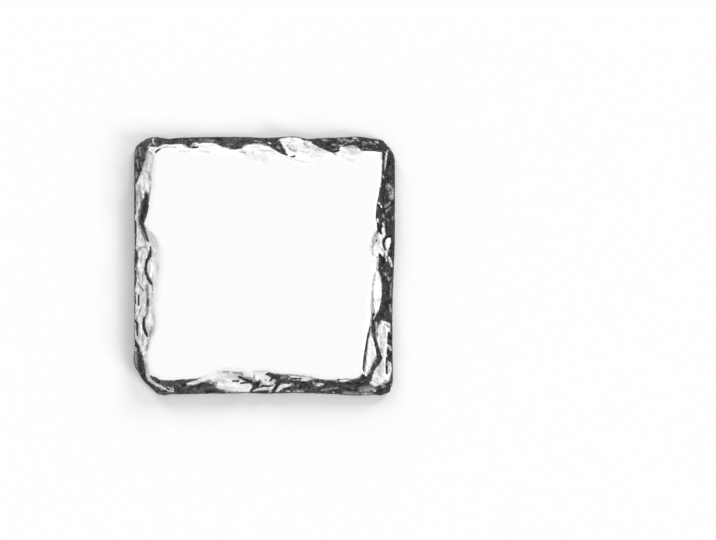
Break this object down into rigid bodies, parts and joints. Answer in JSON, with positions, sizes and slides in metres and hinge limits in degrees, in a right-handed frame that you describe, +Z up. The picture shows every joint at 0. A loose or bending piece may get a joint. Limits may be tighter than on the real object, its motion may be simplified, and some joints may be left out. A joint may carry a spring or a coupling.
{
  "type": "drink coaster",
  "caption": "Square natural slate drink coaster with a chipped bevelled rim and a white coated face, bare on its back.",
  "frame": {"origin": "centre of the flat back, the middle of the box's lower face", "axes": "+Z up out of the white coated face, +X to the right and +Y to the top of the square as the picture shows its face"},
  "size_m": [0.1, 0.099, 0.0066],
  "materials": {
    "slate": "split and knapped dark grey slate, dry and matt with fine light flecks",
    "white_coat": "thin sprayed white polymer coat, satin gloss"
  },
  "bodies": {
    "root": {"slate_body": "slate", "face_coat": "white_coat", "rim_coat_left": "white_coat", "rim_coat_top": "white_coat", "rim_coat_right": "white_coat", "rim_coat_bottom": "white_coat"}
  },
  "joints": []
}
